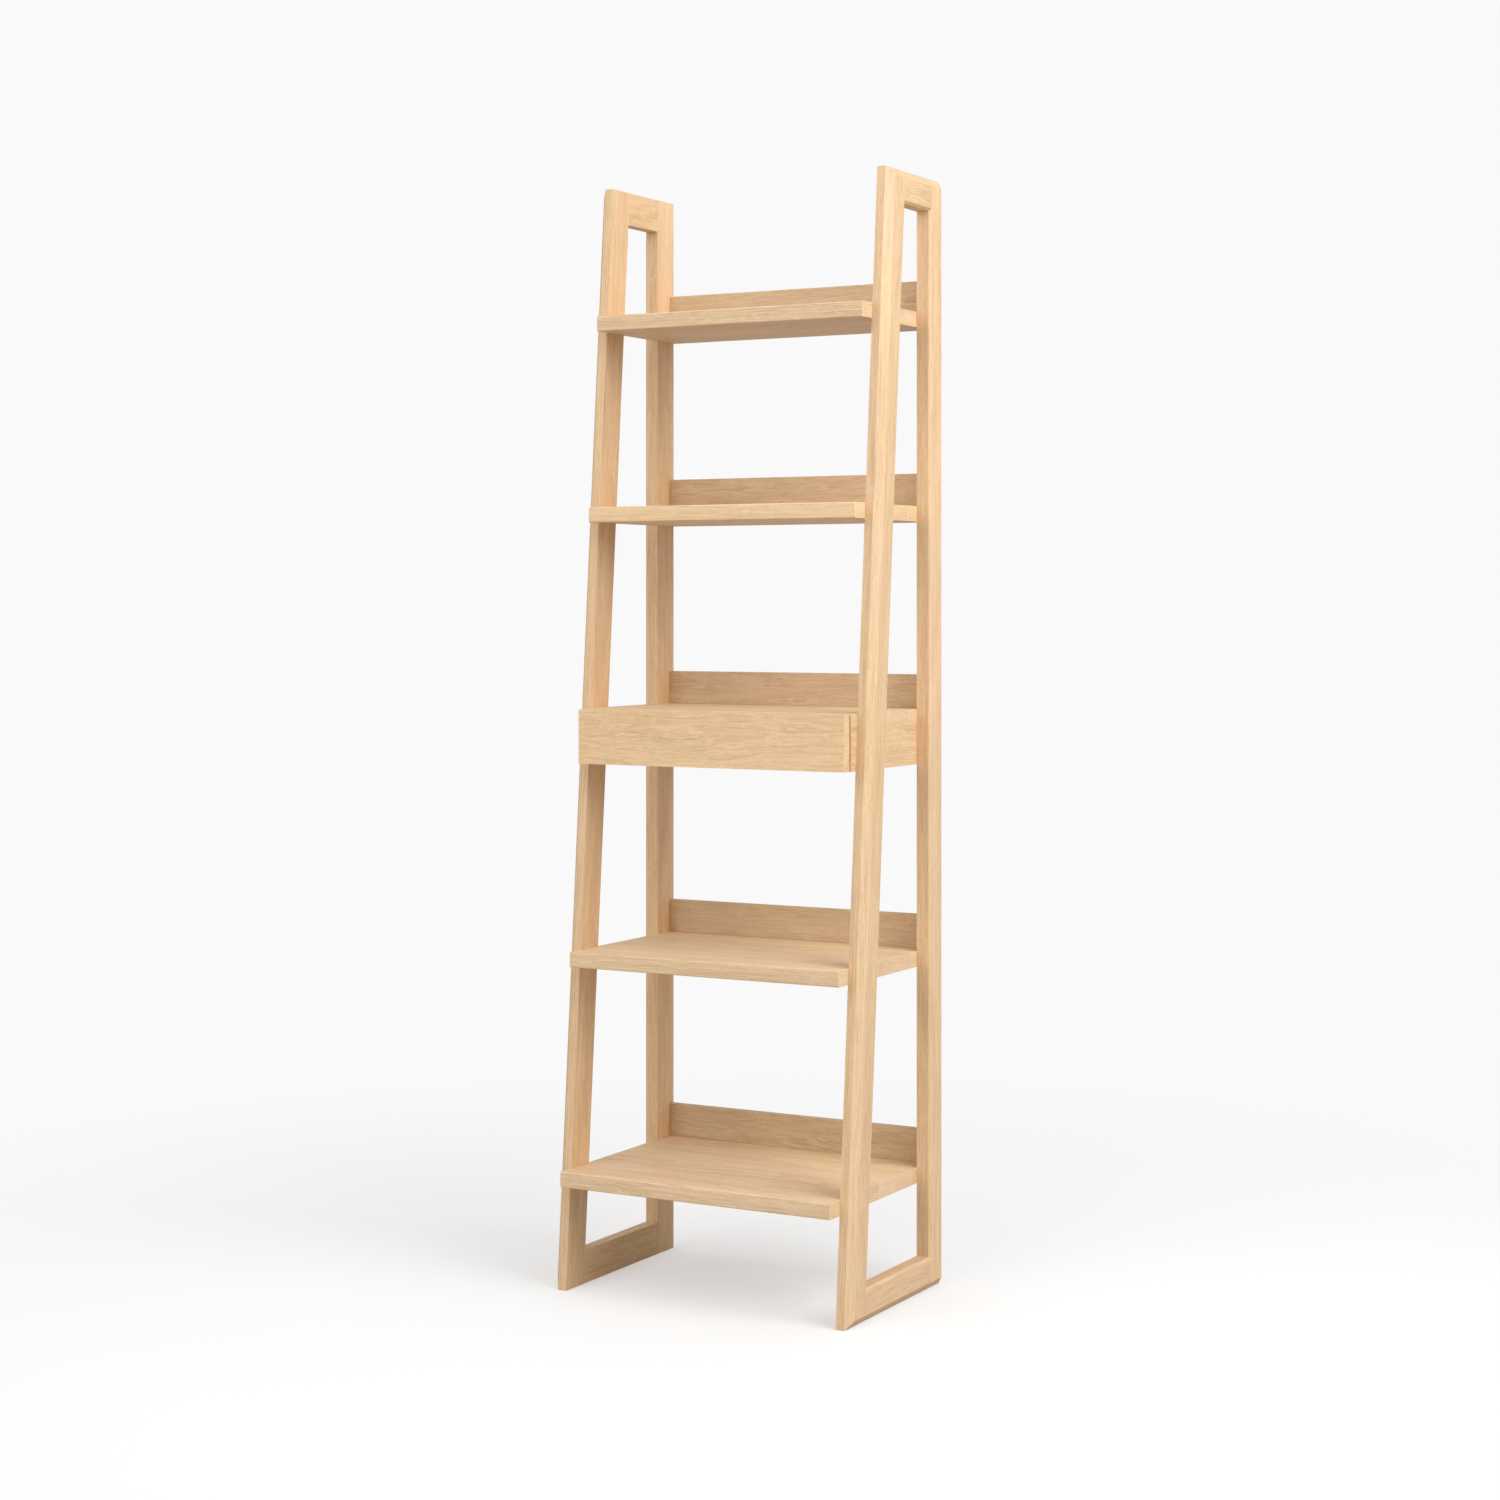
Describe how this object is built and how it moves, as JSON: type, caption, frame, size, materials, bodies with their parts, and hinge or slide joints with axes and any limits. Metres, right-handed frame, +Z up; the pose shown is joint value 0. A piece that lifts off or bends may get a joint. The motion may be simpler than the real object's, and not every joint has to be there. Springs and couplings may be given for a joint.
{
  "type": "ladder shelf",
  "caption": "Ladder shelf with leaning side frames, open shelves with low back upstands and a shallow drawer on ball-bearing runners.",
  "frame": {"origin": "on the floor, midway across the width and midway between the rear plane and the bottom shelf's front edge", "axes": "+X to the right as seen from the front, +Y to the rear, +Z up"},
  "size_m": [0.6, 0.4, 2],
  "materials": {
    "oak": "oak, clear matt lacquer",
    "oak_inside": "oak, thin matt lacquer",
    "beech": "beech dowel, unfinished",
    "zinc": "bright zinc plate",
    "screw_steel": "zinc plate",
    "runner_steel": "rolled strip, zinc plate",
    "ball_steel": "polished",
    "cage_plastic": "moulded, matt",
    "pad_rubber": "soft, translucent grey"
  },
  "bodies": {
    "carcass": {"left_front_leg": "oak", "left_rear_leg": "oak", "left_top_rail": "oak", "left_bottom_rail": "oak", "right_front_leg": "oak", "right_rear_leg": "oak", "right_top_rail": "oak", "right_bottom_rail": "oak", "bottom_shelf": "oak", "lower_shelf": "oak", "upper_shelf": "oak", "top_shelf": "oak", "bottom_upstand": "oak", "lower_upstand": "oak", "unit_upstand": "oak", "upper_upstand": "oak", "top_upstand": "oak", "unit_top": "oak", "unit_left_side": "oak", "unit_right_side": "oak", "unit_back": "oak_inside", "left_cabinet_runner": "runner_steel", "right_cabinet_runner": "runner_steel", "cam_bolts": "zinc", "cam_discs": "zinc", "shelf_dowels": "beech", "upstand_dowels": "beech", "unit_dowels": "beech", "unit_screws": "screw_steel", "cabinet_runner_screws": "screw_steel"},
    "drawer": {"drawer_front": "oak", "drawer_inner_front": "oak_inside", "drawer_left_side": "oak_inside", "drawer_right_side": "oak_inside", "drawer_back": "oak_inside", "drawer_bottom": "oak_inside", "left_drawer_runner": "runner_steel", "right_drawer_runner": "runner_steel", "drawer_runner_screws": "screw_steel", "drawer_front_screws": "screw_steel", "drawer_stop_pads": "pad_rubber"},
    "left_slider": {"left_middle_runner": "runner_steel"},
    "right_slider": {"right_middle_runner": "runner_steel"},
    "left_outer_cage": {"left_outer_ball_cage": "cage_plastic", "left_outer_balls": "ball_steel"},
    "left_inner_cage": {"left_inner_ball_cage": "cage_plastic", "left_inner_balls": "ball_steel"},
    "right_outer_cage": {"right_outer_ball_cage": "cage_plastic", "right_outer_balls": "ball_steel"},
    "right_inner_cage": {"right_inner_ball_cage": "cage_plastic", "right_inner_balls": "ball_steel"}
  },
  "joints": [
    {"name": "drawer_slide", "type": "slide", "parent": "carcass", "child": "drawer", "axis": [0, -1, 0], "range_m": [0, 0.28]},
    {"name": "left_slider_slide", "type": "slide", "parent": "carcass", "child": "left_slider", "axis": [0, -1, 0], "range_m": [0, 0.14]},
    {"name": "right_slider_slide", "type": "slide", "parent": "carcass", "child": "right_slider", "axis": [0, -1, 0], "range_m": [0, 0.14]},
    {"name": "left_outer_cage_slide", "type": "slide", "parent": "carcass", "child": "left_outer_cage", "axis": [0, -1, 0], "range_m": [0, 0.07]},
    {"name": "right_outer_cage_slide", "type": "slide", "parent": "carcass", "child": "right_outer_cage", "axis": [0, -1, 0], "range_m": [0, 0.07]},
    {"name": "left_inner_cage_slide", "type": "slide", "parent": "carcass", "child": "left_inner_cage", "axis": [0, -1, 0], "range_m": [0, 0.21]},
    {"name": "right_inner_cage_slide", "type": "slide", "parent": "carcass", "child": "right_inner_cage", "axis": [0, -1, 0], "range_m": [0, 0.21]}
  ],
  "couplings": [
    {"joint": "left_slider_slide", "follows": "drawer_slide", "ratio": 0.5},
    {"joint": "right_slider_slide", "follows": "drawer_slide", "ratio": 0.5},
    {"joint": "left_outer_cage_slide", "follows": "drawer_slide", "ratio": 0.25},
    {"joint": "right_outer_cage_slide", "follows": "drawer_slide", "ratio": 0.25},
    {"joint": "left_inner_cage_slide", "follows": "drawer_slide", "ratio": 0.75},
    {"joint": "right_inner_cage_slide", "follows": "drawer_slide", "ratio": 0.75}
  ]
}
